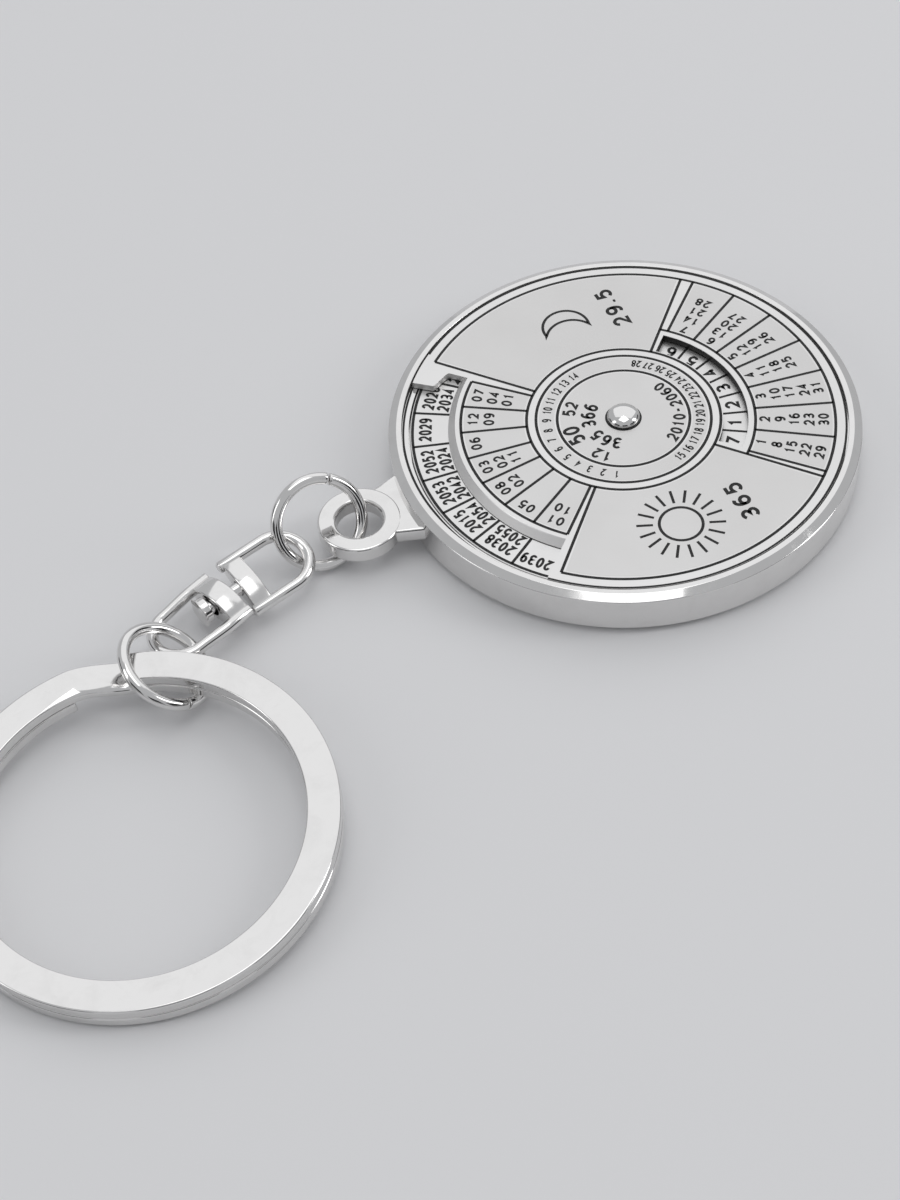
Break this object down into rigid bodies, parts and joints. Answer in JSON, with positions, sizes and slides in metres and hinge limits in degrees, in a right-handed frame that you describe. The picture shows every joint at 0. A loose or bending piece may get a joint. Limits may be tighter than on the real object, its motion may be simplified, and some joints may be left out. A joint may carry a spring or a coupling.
{
  "type": "perpetual calendar keyring",
  "caption": "Round metal perpetual calendar with a turning year dial under a windowed face plate, on a chain of jump rings and a riveted swivel that carries a flat split ring.",
  "frame": {"origin": "middle of the case's flat back, on the table that the keyring lies on", "axes": "+Z out of the face plate, -X from the middle of the case through the tab and its eye towards the chain, +Y to the left of that"},
  "size_m": [0.0858, 0.0563, 0.0072],
  "materials": {
    "case_chrome": "bright plated zinc casting",
    "plate_satin": "satin, with dark filled engraving",
    "dial_satin": "satin, with dark filled engraving",
    "washer_steel": "plain spring steel",
    "centre_rivet_chrome": "polished dome",
    "jump_ring_upper_chrome": "bright plated wire",
    "swivel_loop_chrome": "bright plated casting",
    "swivel_rivet_chrome": "bright plated, staked end",
    "swivel_frame_chrome": "bright plated casting",
    "jump_ring_lower_chrome": "bright plated wire",
    "split_ring_chrome": "bright plated flat strip"
  },
  "bodies": {
    "case_body": {"case": "case_chrome", "face_plate": "plate_satin", "centre_rivet": "centre_rivet_chrome", "spring_washer": "washer_steel"},
    "dial": {"year_dial": "dial_satin"},
    "upper_ring": {"jump_ring_upper": "jump_ring_upper_chrome"},
    "loop": {"swivel_loop": "swivel_loop_chrome", "swivel_rivet": "swivel_rivet_chrome"},
    "frame": {"swivel_frame": "swivel_frame_chrome"},
    "lower_ring": {"jump_ring_lower": "jump_ring_lower_chrome"},
    "key_ring": {"split_ring": "split_ring_chrome"}
  },
  "joints": [
    {"name": "dial_turn", "type": "hinge", "parent": "case_body", "child": "dial", "pos_m": [0, 0, 0], "axis": [0, 0, 1], "continuous": true},
    {"name": "upper_ring_swing", "type": "hinge", "parent": "case_body", "child": "upper_ring", "pos_m": [-0.02691, -0.00026, 0.00225], "axis": [-0.0737, -0.9368, 0.342], "range_deg": [-27, 27]},
    {"name": "loop_swing", "type": "hinge", "parent": "upper_ring", "child": "loop", "pos_m": [-0.02936, -0.00026, 0.00251], "axis": [-0.3117, 0.9406, -0.1348], "range_deg": [-45, 31]},
    {"name": "swivel_spin", "type": "hinge", "parent": "loop", "child": "frame", "pos_m": [-0.03617, -0.00225, 0.00223], "axis": [0.9653, 0.2587, 0.0349], "continuous": true},
    {"name": "lower_ring_swing", "type": "hinge", "parent": "frame", "child": "lower_ring", "pos_m": [-0.04225, -0.00642, 0.00202], "axis": [-0.8444, 0.3758, -0.3817], "range_deg": [-37, 10]},
    {"name": "split_ring_swing", "type": "hinge", "parent": "lower_ring", "child": "key_ring", "pos_m": [-0.04392, -0.00799, 0.0028], "axis": [-0.8268, 0.4322, -0.36], "range_deg": [-50, 60]}
  ]
}
